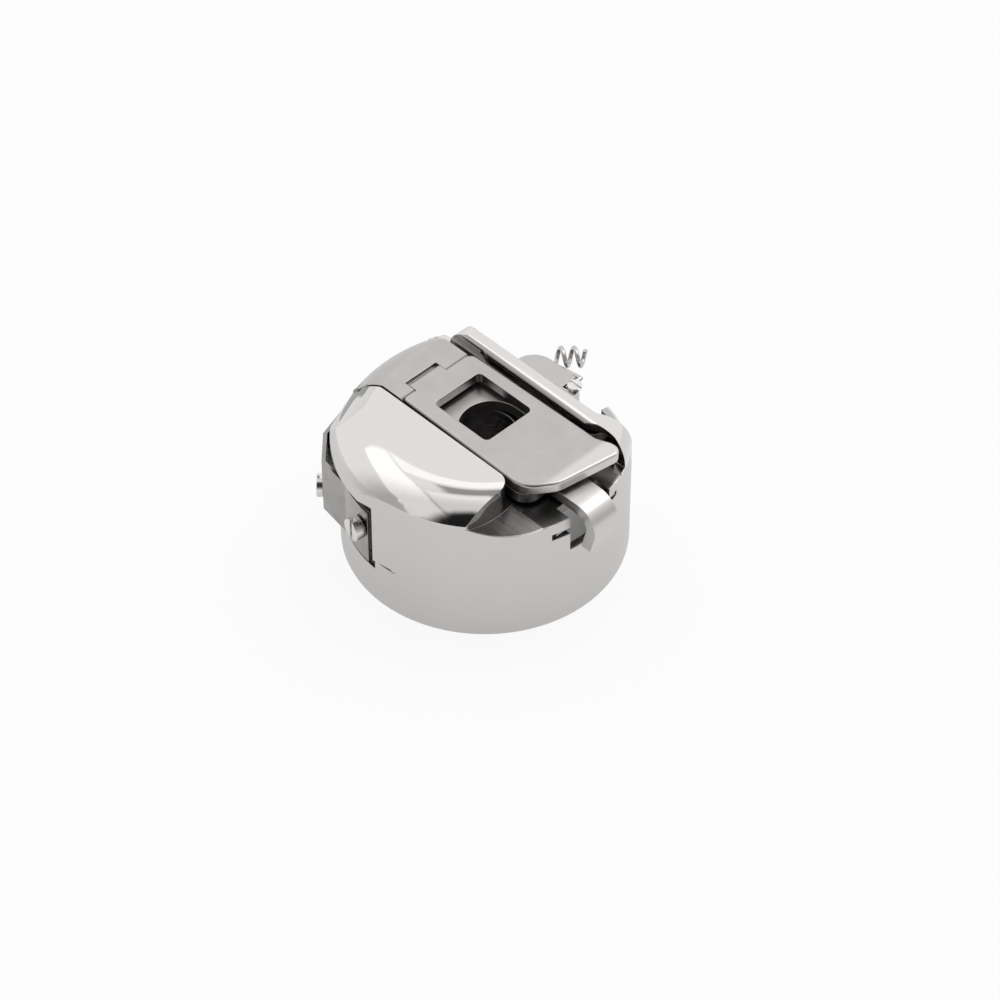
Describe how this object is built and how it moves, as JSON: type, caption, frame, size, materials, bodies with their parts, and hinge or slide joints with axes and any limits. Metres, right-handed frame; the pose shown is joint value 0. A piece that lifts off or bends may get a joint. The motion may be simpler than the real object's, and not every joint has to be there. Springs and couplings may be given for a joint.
{
  "type": "bobbin case",
  "caption": "Open-mouthed cylindrical bobbin case with a hinged latch lever, sliding latch, tension leaf spring, centre tube and coiled wire thread guide.",
  "frame": {"origin": "on the axis of the cup and centre tube, in the plane of the open rim", "axes": "+Z from the open rim to the latch end, +X the way the latch slide's tongue points, +Y towards the ridge and the finger"},
  "size_m": [0.0252, 0.0248, 0.014],
  "materials": {
    "case_steel": "satin wall, polished dome and ridge",
    "tube_steel": "turned",
    "latch_steel": "tumbled satin",
    "spring_steel": "polished sheet",
    "pin_steel": "ground",
    "screw_steel": "turned",
    "wire_steel": "drawn wire"
  },
  "bodies": {
    "case": {"case_body": "case_steel", "centre_tube": "tube_steel", "anti_backlash_spring": "spring_steel", "latch_spring": "spring_steel", "spring_seat_pin": "pin_steel", "tension_spring": "spring_steel", "tension_fixing_screw": "screw_steel", "pigtail_guide": "wire_steel", "pigtail_clamp_screw": "screw_steel"},
    "slide": {"latch_slide": "latch_steel", "latch_hinge_pin": "pin_steel"},
    "lever": {"latch_lever": "latch_steel"},
    "adjusting_screw": {"tension_adjusting_screw": "screw_steel"}
  },
  "joints": [
    {"name": "latch_slide_travel", "type": "slide", "parent": "case", "child": "slide", "axis": [-1, 0, 0], "range_m": [0, 0.0022], "deforming": ["latch_spring"]},
    {"name": "lever_hinge", "type": "hinge", "parent": "slide", "child": "lever", "pos_m": [-0.0057, 0, 0.01298], "axis": [0, -1, 0], "range_deg": [0, 80]},
    {"name": "adjusting_screw_turn", "type": "hinge", "parent": "case", "child": "adjusting_screw", "pos_m": [-0.00208, -0.01131, 0.007], "axis": [-0.1805, -0.9836, 0], "range_deg": [-180, 180]}
  ],
  "couplings": [
    {"joint": "latch_slide_travel", "follows": "lever_hinge", "m_per_rad": 0.0015756}
  ]
}
